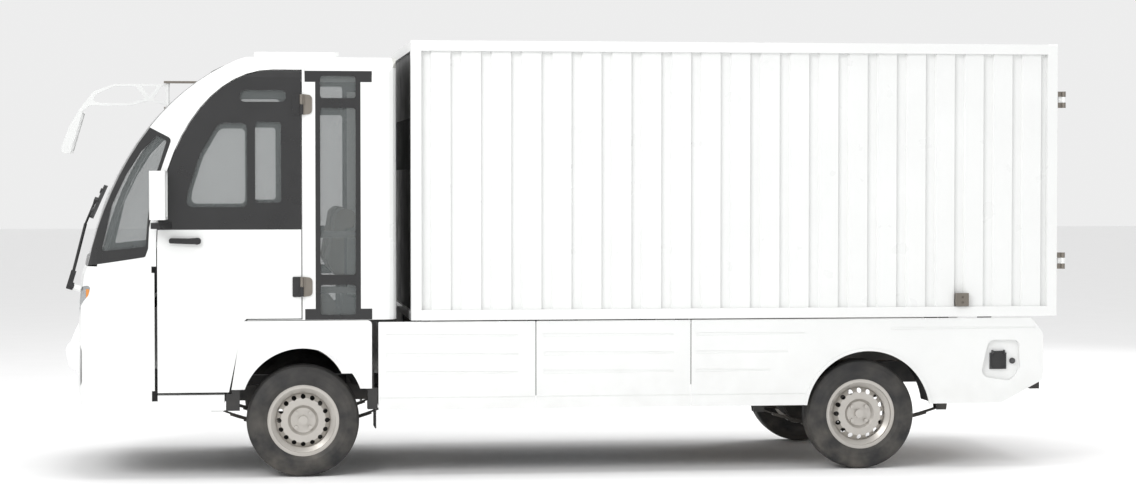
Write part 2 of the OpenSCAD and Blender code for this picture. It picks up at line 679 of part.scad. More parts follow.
// ---------------------------------------------------------------- wheels
module at_wheel(x, side) on_side(side) translate([x, -wheel_y, tyre_r]) children();
// Rim and disc, its outer face towards -Y
disc_y = -34;
module rim() {
    f = tyre_w / 2 - 20.5;
    barrel = [[rim_r + 13, -f - 4], [rim_r + 13, -f], [rim_r, -f + 2], [rim_r, -40], [rim_r - 24, -26],
        [rim_r - 24, 20], [rim_r, 40], [rim_r, f - 2], [rim_r + 13, f], [rim_r + 13, f + 4],
        [rim_r - 4, f + 2], [rim_r - 4, 44], [rim_r - 28, 22], [rim_r - 28, -28], [rim_r - 4, -44],
        [rim_r - 4, -f - 2]];
    rotate([-90, 0, 0]) difference() {
        union() {
            rotate_extrude($fn = 96) polygon([for (p = barrel) [p[0], p[1]]]);
            // Dished disc
            rotate_extrude($fn = 96) polygon([[0, disc_y], [62, disc_y], [76, disc_y - 14], [112,
                disc_y - 14],
                [rim_r - 28.5, disc_y + 12], [rim_r - 24, disc_y + 12], [rim_r - 24, disc_y + 17],
                [rim_r - 29, disc_y + 17], [110, disc_y - 9], [78, disc_y - 9], [64, disc_y + 6], [0,
                    disc_y + 6]]);
            // Hub that runs on the axle's spindle
            translate([0, 0, disc_y]) cylinder(r = 42, h = 50);
        }
        translate([0, 0, disc_y - 1]) cylinder(r = spindle_r + 0.05, h = 60);
        for (i = [0:15]) rotate(i * 22.5) translate([119, 0, disc_y - 30]) cylinder(r = 12, h = 60);
        for (i = [0:3]) rotate(45 + i * 90) translate([50, 0, disc_y - 30]) cylinder(r = 6.5, h = 60);
        translate([rim_r - 34, 0, -60]) rotate(8) cylinder(r = 4.5, h = 120);
    }
    // Hub cap and wheel nuts
    rod_y([0, disc_y - 22, 0], cap_r, 24);
    for (i = [0:3]) rotate([0, 45 + i * 90, 0]) rod_y([50, disc_y - 14, 0], 10, 15);
}
module tyre() {
    w = tyre_w / 2;
    r = tyre_r;
    line = [[rim_r + 13.4, w - 21], [rim_r + 0.3, w - 23], [rim_r + 0.3, 0], [rim_r + 0.3, -w + 23],
        [rim_r + 13.4, -w + 21], [rim_r + 14, -w + 9], [rim_r + 34, -w + 1], [rim_r + 58, -w], [r - 34,
            -w + 4], [r - 12, -w + 13],
        [r - 3, -w + 24], [r, 0], [r - 3, w - 24], [r - 12, w - 13], [r - 34, w - 4], [rim_r + 58, w],
        [rim_r + 34, w - 1], [rim_r + 14, w - 9]];
    rotate([-90, 0, 0]) difference() {
        rotate_extrude($fn = 96) polygon(line);
        for (z = [-42, -14, 14, 42]) rotate_extrude($fn = 96) translate([r - 8, z - 3]) square([12, 6]);
    }
}
module rim_front_left() color("silver") place() at_wheel(0, "left") rim();
module rim_front_right() color("silver") place() at_wheel(0, "right") rim();
module rim_rear_left() color("silver") place() at_wheel(wheelbase, "left") rim();
module rim_rear_right() color("silver") place() at_wheel(wheelbase, "right") rim();
module tyre_front_left() color("#202020") place() at_wheel(0, "left") tyre();
module tyre_front_right() color("#202020") place() at_wheel(0, "right") tyre();
module tyre_rear_left() color("#202020") place() at_wheel(wheelbase, "left") tyre();
module tyre_rear_right() color("#202020") place() at_wheel(wheelbase, "right") tyre();

// ---------------------------------------------------------------- cab interior
seat_y = 370;
module cab_floor() color("dimgray") place() {
    w = cab_y - 60;
    box([-1050, -w + 40, floor_z - 12], [-356, w - 40, floor_z]);
    box([-366, -w + 40, floor_z], [-356, w - 40, fender_z - 12]);
    box([-366, -w, fender_z - 12], [cab_rear, w, fender_z]);
    box([cab_rear - 12, -w, rail_z[1]], [cab_rear, w, fender_z - 12]);
    // Firewall and its sloping toe board
    box([-1054, -w + 130, floor_z], [-1044, w - 130, 900]);
    side_plate(-w + 130, 2 * w - 260) polygon([[-1044, floor_z], [-930, floor_z], [-1044, floor_z + 130]]);
    // Seat plinths
    both_sides() difference() {
        box([-300, -seat_y - 200, fender_z], [160, -seat_y + 200, fender_z + 14]);
        for (x = [-250:100:100]) box([x - 30, -seat_y - 150, fender_z + 4], [x + 30, -seat_y + 150,
            fender_z + 15]);
    }
    // Ears and pin of the parking brake lever
    for (y = [-20, 13]) box([lever_pivot[0] - 22, y, fender_z], [lever_pivot[0] + 22, y + 7,
        lever_pivot[2] + 16]);
    rod_y([lever_pivot[0], -20, lever_pivot[2]], 6, 40);
    // Uprights that carry the seat backs
    both_sides() for (y = [-150, 150]) {
        box([212, -seat_y + y - 12, fender_z], [228, -seat_y + y + 12, 1230]);
        box([228, -seat_y + y - 8, fender_z], [300, -seat_y + y + 8, fender_z + 60]);
    }
    // Guard rails inside the side windows
    both_sides() for (z = [914, 1190]) box([62, -cab_y + 46, z], [286, -cab_y + 66, z + 32]);
    both_sides() for (x = [66, 268], z = [914, 1190]) box([x, -cab_y + 30, z], [x + 14, -cab_y + 46, z + 32]);
}
module seat_cushions() color("#8a7f6c") place() both_sides() {
    side_plate(-seat_y - 235, 470) polygon(outline([[-320, fender_z + 14.3, 20], [168, fender_z + 14.3, 15],
        [172, 868, 40], [100, 908, 50], [-260, 896, 60], [-328, 850, 40]]));
}
module seat_backs() color("#8a7f6c") place() both_sides() {
    side_plate(-seat_y - 225, 450) polygon(outline([[168, 990, 40], [211.6, 985, 5], [211.6, 1232, 1],
        [262, 1236, 10], [268, 1320, 30], [212, 1338, 40], [176, 1312, 30], [130, 1060, 60]]));
}
module dashboard() color("#404040") place() {
    w = cab_y - 190;
    side_plate(-w, 2 * w) polygon(outline([[-1044, 862, 0], [-800, 862, 10], [-690, 940, 30], [-690,
        1040, 50],
        [-1010, 1062, 20], [-1044, 1040, 0]]));
    // Instrument binnacle with its cowl and two shelf bins
    difference() {
        side_plate(-seat_y - 130, 260) polygon(outline([[-900, 1040, 10], [-700, 1040, 10],
            [-672, 1130, 20], [-850, 1120, 30]]));
        front_plate(-700, 60) polygon(rounded_box(-seat_y - 105, 1062, -seat_y + 105, 1112, 20));
    }
    difference() {
        box([-860, 60, 1030], [-700, 420, 1070]);
        box([-845, 75, 1045], [-715, 405, 1071]);
    }
}
// Steering column: its axis rises towards the driver
wheel_centre = [-520, -seat_y, 1130];
column_dir = [sin(column_lean), 0, cos(column_lean)];
module at_steering() { translate(wheel_centre) rotate([0, column_lean, 0]) children(); }
module steering_column() color("#303030") place() {
    at_steering() {
        difference() {
            translate([0, 0, -210]) cylinder(r = 34, h = 160);
            translate([0, 0, -130]) cylinder(r = 11.05, h = 90);
        }
        // Indicator stalk
        translate([0, -90, -76]) rotate([-90, 0, 0]) cylinder(r = 6, h = 60);
    }
    // Lower shaft down to the footwell floor
    strut(wheel_centre - 205 * column_dir, wheel_centre - 380 * column_dir, 16);
    strut(wheel_centre - 370 * column_dir, [-900, -seat_y, floor_z + 40], 12);
    rod_z([-900, -seat_y, floor_z], 26, 50);
    // Pedal box: a pin between ears that hang from the dashboard
    rod_y([pedal_pivot[0], brake_y - 46, pedal_pivot[2]], 6, accelerator_y - brake_y + 92);
    for (y = [brake_y - 40, (brake_y + accelerator_y) / 2 - 4, accelerator_y + 32])
        box([pedal_pivot[0] - 20, y, pedal_pivot[2] - 14], [pedal_pivot[0] + 20, y + 8, 862]);
}
module steering_wheel() color("#202020") place() at_steering() {
    rotate_extrude() translate([steer_r, 0]) circle(14);
    translate([0, 0, -125]) cylinder(r = 11, h = 120);
    translate([0, 0, -36]) cylinder(r = 36, h = 30);
    for (a = [0, 120, 240]) rotate(a + 90) difference() {
        translate([25, -16, -24]) cube([steer_r - 28, 32, 9]);
        for (x = [60, 95, 130]) translate([x, 0, -30]) cylinder(r = 7, h = 20);
    }
    for (a = [0, 120, 240]) rotate(a + 90) translate([steer_r - 12, -14, -24]) cube([10, 28, 22]);
}
pedal_pivot = [-960, 0, 800];
brake_y = -seat_y + 80;
accelerator_y = -seat_y + 175;
module pedal(y, pad_w) {
    difference() {
        rod_y([pedal_pivot[0], y - 30, pedal_pivot[2]], 12, 60);
        rod_y([pedal_pivot[0], y - 31, pedal_pivot[2]], 6.05, 62);
    }
    strut([pedal_pivot[0] + 4, y, pedal_pivot[2] - 9], [-880, y, 590], 8);
    translate([-876, y, 580]) rotate([0, -35, 0]) difference() {
        translate([-6, -pad_w / 2, -35]) cube([12, pad_w, 70]);
        for (z = [-25:10:25]) translate([3, -pad_w / 2 - 1, z - 2]) cube([4, pad_w + 2, 4]);
    }
}
module brake_pedal() color("#303030") place() pedal(brake_y, 70);
module accelerator_pedal() color("#303030") place() pedal(accelerator_y, 50);
lever_pivot = [-100, 0, 830];
module parking_brake_lever() color("#303030") place() {
    difference() {
        rod_y([lever_pivot[0], -12, lever_pivot[2]], 16, 24);
        rod_y([lever_pivot[0], -13, lever_pivot[2]], 6.05, 26);
    }
    strut([lever_pivot[0] - 12, 0, lever_pivot[2] + 5], [-300, 0, 905], 9);
    strut([-290, 0, 901], [-400, 0, 943], 15);
    strut([-398, 0, 942.2], [-410, 0, 946.8], 7);
}

// ---------------------------------------------------------------- cab doors
door_hinge_z = [[898, 998], [1799, 1902]];
door_pin = [-door_rear + 2, -cab_y - 14];
front_pane = [[-574, 1344, 30], [-274, 1344, 26], [-274, 1759, 26], [-412, 1759, 50], [-505, 1600, 150],
    [-562, 1420, 60]];
rear_pane = [[-234, 1366, 16], [-107, 1366, 16], [-107, 1764, 16], [-234, 1764, 16]];
top_pane = [[-321, 1863, 26], [-81, 1863, 26], [-81, 1921, 26], [-300, 1921, 26]];
frame_t = 34;
module door_panel(side) on_side(side) difference() {
    intersection() {
        side_plate(-cab_y, door_t) polygon(door_outline(0));
        box([-800, -cab_y - 1, 0], [100, 0, waist_z]);
    }
    side_plate(-cab_y + 3, door_t - 5) polygon(outline([[-door_front + 30, door_low_z + 30, 10],
        [-395, door_low_z + 30, 20], [-330, fender_z + 40, 20], [-door_rear - 30, fender_z + 40, 10],
        [-door_rear - 30, waist_z - 30, 10], [-door_front + 30, waist_z - 30, 10]]));
    rod_y([-636, -cab_y - 1, 1178], 12.5, 18);
    rod_y([-520, -cab_y - 1, 1176], 10.05, 20);
}
module door_frame(side) on_side(side) {
    difference() {
        intersection() {
            side_plate(-cab_y, frame_t) polygon(door_outline(0));
            cab_volume(0);
            box([-800, -cab_y - 1, waist_z], [100, 0, 2 * cab_h]);
        }
        for (p = [front_pane, rear_pane, top_pane]) side_prism() polygon(outline(p));
        door_panes();
    }
    // Inner rail that stiffens the top of the lower panel
    box([-door_front + 40, -cab_y + frame_t, waist_z], [-door_rear - 30, -cab_y + door_t, waist_z + 40]);
    // Bracket of the side mirror
    if (side == "left") difference() {
        translate([0, 0, 1238]) linear_extrude(30) polygon(outline([[-690, -cab_y, 0], [-744,
            -cab_y - 50, 12],
            [-740, -cab_y - 80, 15], [-702, -cab_y - 80, 15], [-640, -cab_y, 0]]));
        rod_z([mirror_pin[0], mirror_pin[1], 1243], 12.05, 26);
    }
    // Hinge plates with their screws and barrels
    for (z = door_hinge_z) {
        side_plate(-cab_y - 6, 5.8) polygon(outline([[-52, z[0], 6], [-door_rear - 3, z[0], 0],
            [-door_rear - 3, z[1], 0], [-52, z[1], 6]]));
        for (s = [z[0] + 14, z[1] - 14]) rod_y([-40, -cab_y - 9, s], 6, 3);
        difference() {
            rod_z([door_pin[0], door_pin[1], z[0] + 2], 9, (z[1] - z[0]) / 2 - 3);
            rod_z([door_pin[0], door_pin[1], z[0] + 1], 5.05, 60);
        }
        box([-door_rear - 12, -cab_y - 14, z[0] + 2], [-door_rear - 5, -cab_y - 5, (z[0] + z[1]) / 2 - 1]);
    }
}
module pane_solid(p, y, g) { side_plate(y, 4) polygon(outline([for (q = p) let (c = [-320, 1550])
    [q[0] + g * sign(q[0] - (p[0][0] + p[1][0]) / 2), q[1] + g * sign(q[1] - (p[1][1] + p[2][1]) / 2),
        q[2]]])); }
module door_panes() {
    for (p = [front_pane, rear_pane, top_pane]) pane_solid(p, -cab_y + 12, 9);
}
module door_glass(side) on_side(side) door_panes();
module door_handle(side) on_side(side) {
    // Spindle, boss, lever and lock
    rod_y([-520, -cab_y - 14, 1176], 10, 26);
    rod_y([-520, -cab_y - 16, 1176], 17, 14);
    side_plate(-cab_y - 24, 10) polygon(outline([[-656, 1166, 8], [-560, 1162, 20], [-500, 1160, 14],
        [-500, 1194, 14], [-560, 1190, 20], [-656, 1192, 12]]));
}
module door_panel_left() color("white") place() door_panel("left");
module door_panel_right() color("white") place() door_panel("right");
module door_frame_left() color("#202020") place() door_frame("left");
module door_frame_right() color("#202020") place() door_frame("right");
module door_glass_left() color("lightblue", 0.4) place() door_glass("left");
module door_glass_right() color("lightblue", 0.4) place() door_glass("right");
module door_handle_left() color("#181818") place() door_handle("left");
module door_handle_right() color("#181818") place() door_handle("right");

// ---------------------------------------------------------------- mirrors and wiper
// Side mirror on the left front pillar: the head turns on an upright pin at the bracket's end
mirror_pin = [-720, -cab_y - 62];
module side_mirror() color("white") place() {
    rod_z([mirror_pin[0], mirror_pin[1], 1244], 12, 60);
    difference() {
        translate([0, 0, 1284]) linear_extrude(238) polygon(outline([[-748, -mirror_y + 7, 25],
            [-668, -mirror_y, 8], [-660, -cab_y - 30, 8], [-735, -cab_y - 34, 25]]));
        front_plate(-674, 20) polygon(rounded_box(-mirror_y + 12, 1296, -cab_y - 42, 1510, 12));
    }
    front_plate(-674, 5) polygon(rounded_box(-mirror_y + 14, 1298, -cab_y - 44, 1508, 12));
}
// Bus-type mirror ahead of the right front pillar, held by an open truss arm
far_y = cab_y - 40;
mirror_tip = -mirror_reach;
arm_pin = [-694, far_y];
module front_mirror() color("white") place() {
    // Flat truss arm
    side_plate(far_y - 8, 16) difference() {
        polygon(outline([[arm_pin[0], 2001, 0], [-985, 2001, 80], [-1095, 1962, 60], [mirror_tip + 90,
            1850, 0],
            [mirror_tip + 120, 1850, 10], [mirror_tip + 152, 1882, 20], [-900, 1882, 40],
            [-800, 1908, 40], [arm_pin[0], 1884, 0]]));
        polygon(outline([[-838, 1988, 4], [-752, 1988, 4], [-795, 1932, 4]]));
        polygon(outline([[-866, 1987, 10], [-985, 1988, 50], [-1082, 1944, 30], [-1100, 1908, 6],
            [-1060, 1896, 8], [-905, 1896, 30], [-818, 1922, 3]]));
        polygon(outline([[-728, 1988, 4], [-708, 1988, 4], [-708, 1902, 4], [-772, 1920, 4]]));
    }
    // Mirror head across the end of the arm, with the glass facing the driver
    difference() {
        side_plate(far_y - 20, mirror_y - far_y + 20) polygon(outline([[mirror_tip + 96, 1856, 8],
            [mirror_tip + 44, 1768, 80],
            [mirror_tip, 1650, 40], [mirror_tip + 6, 1622, 8], [mirror_tip + 50, 1622, 6],
            [mirror_tip + 118, 1852, 6]]));
        side_plate(far_y - 11, mirror_y - far_y + 2) polygon([[mirror_tip + 46, 1634], [mirror_tip + 108,
            1842],
            [mirror_tip + 140, 1842], [mirror_tip + 140, 1634]]);
    }
    side_plate(far_y - 10, mirror_y - far_y) polygon([[mirror_tip + 46.4, 1635], [mirror_tip + 107.7, 1841],
        [mirror_tip + 111, 1841], [mirror_tip + 49.7, 1635]]);
    // Upright pin that the arm swings on
    rod_z([arm_pin[0], arm_pin[1], 1862], 10, 158);
}
wiper_pivot = [-fascia_reach - 36, -60, 925];
wiper_tilt = 17;
module at_wiper() { translate(wiper_pivot) rotate([0, -90 + wiper_tilt, 0]) children(); }
module wiper() color("#101010") place() at_wiper() {
    // The local Z points out of the screen and the local X up along it
    translate([0, 0, -50]) cylinder(r = 9, h = 66);
    cylinder(r = 20, h = 34);
    translate([-10, -14, 8]) cube([90, 28, 26]);
    strut([70, 0, 22], [330, 0, 34], 8);
    strut([330, 0, 34], [466, 0, 20], 6);
    // Blade across the arm, with its carrier, bridges and rubber
    translate([460, 0, 4]) rotate(72) {
        translate([-262, -5, 0]) cube([524, 10, 8]);
        translate([-272, -2, -12]) cube([544, 4, 13]);
        for (x = [-190, 150]) translate([x, -8, 6]) cube([40, 16, 9]);
        translate([-22, -11, 4]) cube([44, 22, 20]);
    }
}

// ---------------------------------------------------------------- cargo box
inner_x0 = cargo_x0 + post_w;
inner_x1 = cargo_x1 - post_w;
module cargo_floor() color("tan") place() {
    box([inner_x0, -cargo_y + post_w, cargo_z + 20], [inner_x1, cargo_y - post_w, cargo_z + 40]);
    for (x = [inner_x0 + 250:400:inner_x1 - 100])
        box([x, -cargo_y + post_w, cargo_z], [x + 50, cargo_y - post_w, cargo_z + 20]);
}
module cargo_frame() color("white") place() {
    for (x = [cargo_x0, inner_x1]) difference() {
        front_plate(x, post_w) difference() {
            polygon(rounded_box(-cargo_y, cargo_z, cargo_y, cargo_top, 6));
            translate([-cargo_y + post_w, cargo_z + post_w - 10])
                square([2 * (cargo_y - post_w), cargo_h - 2 * post_w + 10]);
        }
        if (x == inner_x1) front_plate(x + post_w - rear_door_t - 2, 40)
            translate([-cargo_y + post_w - 12, cargo_z + post_w - 20])
                square([2 * (cargo_y - post_w + 12), cargo_h - 2 * post_w + 30]);
    }
    both_sides() for (z = [cargo_z, cargo_top - post_w])
        box([inner_x0, -cargo_y, z], [inner_x1, -cargo_y + post_w, z + post_w]);
}
panel_l = inner_x1 - inner_x0;
rib_count = floor((panel_l - groove_w / 2) / rib_pitch);
rib_step = (panel_l - groove_w / 2) / rib_count;
function rib_line(d) = concat([for (i = [0:rib_count - 1], p = [[0, 1], [groove_w - 6, 1], [groove_w, 0],
    [rib_step - 6, 0]]) [inner_x0 + i * rib_step + p[0], d + p[1] * groove_t]],
    [[inner_x0 + rib_count * rib_step, d + groove_t], [inner_x1, d + groove_t]]);
module cargo_side_panels() color("white") place() both_sides() {
    outer = rib_line(0);
    inner = rib_line(2.5);
    translate([0, -cargo_y + 14, cargo_z + post_w]) linear_extrude(cargo_h - 2 * post_w)
        polygon(concat(outer, [for (i = [len(inner) - 1:-1:0]) inner[i]]));
}
vent_z = [1530, 1790];
module cargo_front_wall() color("#303030") place() {
    difference() {
        box([cargo_x0 + 14, -cargo_y + post_w, cargo_z + post_w - 10],
            [cargo_x0 + 26, cargo_y - post_w, cargo_top - post_w]);
        box([cargo_x0 + 10, -cargo_y + 2 * post_w, vent_z[0]], [cargo_x0 + 20, cargo_y - 2 * post_w,
            vent_z[1]]);
    }
    // Upright ribs of the vent panel
    for (y = [-cargo_y + 2 * post_w + 20:40:cargo_y - 2 * post_w - 20])
        box([cargo_x0 + 14, y - 6, vent_z[0]], [cargo_x0 + 20, y + 6, vent_z[1]]);
}
module cargo_roof() color("white") place() {
    box([inner_x0, -cargo_y + post_w, cargo_top - 12], [inner_x1, cargo_y - post_w, cargo_top - 4]);
    for (x = [inner_x0 + 500:600:inner_x1 - 200])
        box([x, -cargo_y + post_w, cargo_top - 42], [x + 40, cargo_y - post_w, cargo_top - 12]);
}
rear_hinge_z = [cargo_z + 285, cargo_top - 283];
catch_x = cargo_x1 - 536;
// Hinge leaves fixed to the body, door catches, door pins and mirror brackets
module box_hardware() color("gray") place() {
    both_sides() {
        for (z = rear_hinge_z) {
            box([cargo_x1, -cargo_y + 2, z - 42], [cargo_x1 + 5, -cargo_y + 42, z - 15]);
            box([cargo_x1, -cargo_y + 2, z + 15], [cargo_x1 + 5, -cargo_y + 42, z + 42]);
            for (s = [-42, 15]) {
                rod_z([rear_pin_x, -rear_pin_y, z + s], barrel_r, 27);
                box([cargo_x1, -cargo_y + 2, z + s], [rear_pin_x, -cargo_y + 7, z + s + 27]);
            }
            rod_z([rear_pin_x, -rear_pin_y, z - 20], 5, 40);
        }
        // Magnetic catch that holds a folded door
        difference() {
            box([catch_x, -cargo_y - 18, cargo_z + 55], [catch_x + 66, -cargo_y + 14, cargo_z + 121]);
            for (z = [cargo_z + 75, cargo_z + 101]) rod_y([catch_x + 33, -cargo_y - 19, z], 6, 6);
        }
        // Fixed halves of the cab door hinges
        for (z = door_hinge_z) {
            side_plate(-cab_y - 6, 6) polygon(outline([[door_pin[0] + 8, z[0], 0], [46, z[0] + 6, 20],
                [46, z[1] - 6, 20], [door_pin[0] + 8, z[1], 0]]));
            for (s = [z[0] + 14, z[1] - 14]) rod_y([34, -cab_y - 9, s], 6, 3);
            rod_z([door_pin[0], door_pin[1], (z[0] + z[1]) / 2 + 1], 9, (z[1] - z[0]) / 2 - 3);
            rod_z([door_pin[0], door_pin[1], z[0] + 3], 5, (z[1] - z[0]) / 2);
            box([door_pin[0] + 4, -cab_y - 14, (z[0] + z[1]) / 2 + 1], [door_pin[0] + 14, -cab_y - 5,
                z[1] - 2]);
        }
    }
    // Brackets of the front mirror's arm on the right front pillar
    for (z = [1864, 2006]) difference() {
        translate([0, 0, z]) linear_extrude(12) polygon(outline([[-716, far_y - 18, 8], [-450, far_y - 18, 0],
            [-450, far_y + 18, 0], [-716, far_y + 18, 8]]));
        rod_z([arm_pin[0], arm_pin[1], z - 1], 10.05, 14);
        cab_volume(0);
    }
}
module tail_lamps() color("darkred") place() both_sides() {
    difference() {
        box([cargo_x1 - 20, -rail_y - 56, 450], [cargo_x1, -rail_y + 120, 530]);
        for (i = [1, 2]) box([cargo_x1 - 4, -rail_y - 57 + 58 * i, 446], [cargo_x1 + 1,
            -rail_y - 53 + 58 * i, 534]);
    }
}
// Rear door with its hinge straps, seal, lock rod keepers and handle plate
door_z = [cargo_z + post_w - 16, cargo_top - post_w + 6];
module cargo_door(side) on_side(side) {
    x = cargo_x1 - rear_door_t;
    difference() {
        box([x, -cargo_y + post_w + 4 - 12, door_z[0]], [cargo_x1, -3, door_z[1]]);
        for (z = [door_z[0] + 70, door_z[0] + 690]) front_plate(cargo_x1 - 5, 6)
            polygon(rounded_box(-cargo_y + post_w + 70, z, -90, z + 560, 30));
    }
    for (z = rear_hinge_z) {
        box([cargo_x1, -cargo_y + 46, z - 20], [cargo_x1 + 5, -cargo_y + 190, z + 20]);
        difference() {
            union() {
                rod_z([rear_pin_x, -rear_pin_y, z - 14.5], barrel_r, 29);
                box([cargo_x1 + 5, -cargo_y + 7.5, z - 14], [cargo_x1 + 10, -cargo_y + 60, z + 14]);
                box([cargo_x1 + 5, -cargo_y + 7.5, z - 14], [rear_pin_x, -cargo_y + 12.5, z + 14]);
                box([rear_pin_x - 8, -rear_pin_y + 5, z - 14], [rear_pin_x, -cargo_y + 12.5, z + 14]);
            }
            rod_z([rear_pin_x, -rear_pin_y, z - 15], 5.05, 31);
        }
        for (y = [70, 110, 150]) rod_x([cargo_x1 + 5, -cargo_y + y, z], 7, 3);
    }
    // Lock rod in its guides, with the handle folded down
    rod_z([cargo_x1 + 14, -110, door_z[0] + 10], 8, door_z[1] - door_z[0] - 20);
    for (z = [door_z[0] + 120, door_z[0] + 620, door_z[1] - 150])
        box([cargo_x1, -124, z], [cargo_x1 + 22, -96, z + 30]);
    box([cargo_x1 + 8, -290, door_z[0] + 500], [cargo_x1 + 18, -104, door_z[0] + 522]);
    box([cargo_x1, -296, door_z[0] + 494], [cargo_x1 + 8, -250, door_z[0] + 528]);
}
module cargo_door_left() color("white") place() cargo_door("left");
module cargo_door_right() color("white") place() cargo_door("right");

chassis_frame();
battery_pack();
cab_floor();
cab_side_frames();
cab_roof();
cab_rear_wall();
front_fascia();
front_grille();
windscreen_frame();
windscreen();
headlamps();
turn_signals();
side_window_frames();
cab_side_glass();
front_fenders();
wheel_arch_guards();
side_skirts();
charge_socket();
cargo_floor();
cargo_frame();
cargo_side_panels();
cargo_front_wall();
cargo_roof();
box_hardware();
tail_lamps();
seat_cushions();
seat_backs();
dashboard();
steering_column();
leaf_springs();
front_axle();
rear_axle();
knuckle_left();
knuckle_right();
rim_front_left();
rim_front_right();
rim_rear_left();
rim_rear_right();
tyre_front_left();
tyre_front_right();
tyre_rear_left();
tyre_rear_right();
steering_wheel();
brake_pedal();
accelerator_pedal();
parking_brake_lever();
door_panel_left();
door_panel_right();
door_frame_left();
door_frame_right();
door_glass_left();
door_glass_right();
door_handle_left();
door_handle_right();
side_mirror();
front_mirror();
wiper();
cargo_door_left();
cargo_door_right();
charge_flap();
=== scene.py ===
import json
import math

import bpy
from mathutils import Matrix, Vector

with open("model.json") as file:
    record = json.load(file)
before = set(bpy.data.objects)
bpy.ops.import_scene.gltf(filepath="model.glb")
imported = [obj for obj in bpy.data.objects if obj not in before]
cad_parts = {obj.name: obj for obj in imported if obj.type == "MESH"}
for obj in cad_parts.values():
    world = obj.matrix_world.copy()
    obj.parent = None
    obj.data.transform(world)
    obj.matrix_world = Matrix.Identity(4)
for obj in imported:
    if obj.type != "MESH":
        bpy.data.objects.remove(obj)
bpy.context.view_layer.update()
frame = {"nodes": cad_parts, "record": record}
nodes = frame["nodes"]


# ---------------------------------------------------------------- materials
def linear(grey):
    """Scene-linear value of a display grey from 0 to 255."""
    v = grey / 255
    return v / 12.92 if v < 0.04 else ((v + 0.055) / 1.055) ** 2.4


def rgb(r, g, b):
    return (linear(r), linear(g), linear(b), 1.0)


# Sockets of a Mix node that mixes colours
MIX_FACTOR, MIX_A, MIX_B = 0, 6, 7
MIX_RESULT = 2


class Graph:
    """A node tree with a Principled shader and short ways to add to it."""

    def __init__(self, name):
        self.material = bpy.data.materials.new(name)
        self.material.use_nodes = True
        self.tree = self.material.node_tree
        self.bsdf = self.tree.nodes["Principled BSDF"]
        self.coords = self.add("ShaderNodeTexCoord").outputs["Object"]

    def add(self, kind, **values):
        node = self.tree.nodes.new(kind)
        for key, value in values.items():
            setattr(node, key, value)
        return node

    def link(self, source, target):
        self.tree.links.new(source, target)

    def noise(self, scale, detail=3.0, stretch=(1, 1, 1)):
        mapping = self.add("ShaderNodeMapping")
        mapping.inputs["Scale"].default_value = stretch
        self.link(self.coords, mapping.inputs["Vector"])
        node = self.add("ShaderNodeTexNoise")
        node.inputs["Scale"].default_value = scale
        node.inputs["Detail"].default_value = detail
        self.link(mapping.outputs["Vector"], node.inputs["Vector"])
        return node.outputs["Fac"]

    def spread(self, source, low, high, from_low=0.3, from_high=0.7):
        node = self.add("ShaderNodeMapRange")
        limits = {"From Min": from_low, "From Max": from_high, "To Min": low, "To Max": high}
        for key, value in limits.items():
            node.inputs[key].default_value = value
        self.link(source, node.inputs["Value"])
        return node.outputs["Result"]

    def mix(self, factor, a, b):
        node = self.add("ShaderNodeMix", data_type="RGBA")
        inputs, outputs = node.inputs, node.outputs
        for source, target in ((factor, inputs[MIX_FACTOR]), (a, inputs[MIX_A]), (b, inputs[MIX_B])):
            if isinstance(source, (float, tuple)):
                target.default_value = source
            else:
                self.link(source, target)
        return outputs[MIX_RESULT]

    def height(self, low, high):
        """1 at the height low and below, 0 at the height high and above."""
        parts = self.add("ShaderNodeSeparateXYZ")
        self.link(self.coords, parts.inputs[0])
        return self.spread(parts.outputs["Z"], 1.0, 0.0, low, high)

    def relief(self, source, strength, distance, bevel=0.0):
        bump = self.add("ShaderNodeBump")
        bump.inputs["Strength"].default_value = strength
        bump.inputs["Distance"].default_value = distance
        self.link(source, bump.inputs["Height"])
        if bevel:
            edge = self.add("ShaderNodeBevel", samples=4)
            edge.inputs["Radius"].default_value = bevel
            self.link(edge.outputs["Normal"], bump.inputs["Normal"])
        self.link(bump.outputs["Normal"], self.bsdf.inputs["Normal"])

    def set(self, **values):
        for key, value in values.items():
            self.bsdf.inputs[key.replace("_", " ")].default_value = value


WHITE = rgb(232, 233, 232)
DUST = rgb(150, 143, 132)
# Heights in metres below which dust is thickest and above which there is none
DUST_FULL_Z, DUST_NONE_Z = 0.1, 0.75


def surface(name, colour, rough, *, metal=0.0, coat=0.0, vary=0.05, blotch=3.0, grain=400.0, relief=0.15,
            distance=0.0004, bevel=0.0015, dust=0.0, alpha=1.0, stretch=(1, 1, 1), specular=0.5):
    """A finish with slow changes of colour and gloss, a fine grain in relief, and dust near the ground."""
    g = Graph(name)
    dark = tuple(c * (1 - vary) for c in colour[:3]) + (1.0,)
    light = tuple(min(1.0, c * (1 + vary * 0.6)) for c in colour[:3]) + (1.0,)
    tone = g.mix(g.spread(g.noise(blotch, 4.0), 0.0, 1.0), dark, light)
    if dust:
        low = g.height(DUST_FULL_Z, DUST_NONE_Z)
        speck = g.spread(g.noise(9.0, 6.0), 0.0, 1.0, 0.35, 0.75)
        amount = g.add("ShaderNodeMath", operation="MULTIPLY")
        g.link(low, amount.inputs[0])
        g.link(speck, amount.inputs[1])
        tone = g.mix(g.spread(amount.outputs[0], 0.0, dust, 0.0, 1.0), tone, DUST)
    g.link(tone, g.bsdf.inputs["Base Color"])
    fine = g.noise(grain, 2.0, stretch)
    smear = g.noise(blotch * 2.5, 5.0)
    g.link(g.spread(smear, max(0.02, rough - 0.06), min(1.0, rough + 0.08)), g.bsdf.inputs["Roughness"])
    g.relief(fine, relief, distance, bevel)
    g.set(Metallic=metal, Coat_Weight=coat, Coat_Roughness=0.08, Alpha=alpha, Specular_IOR_Level=specular)
    return g.material


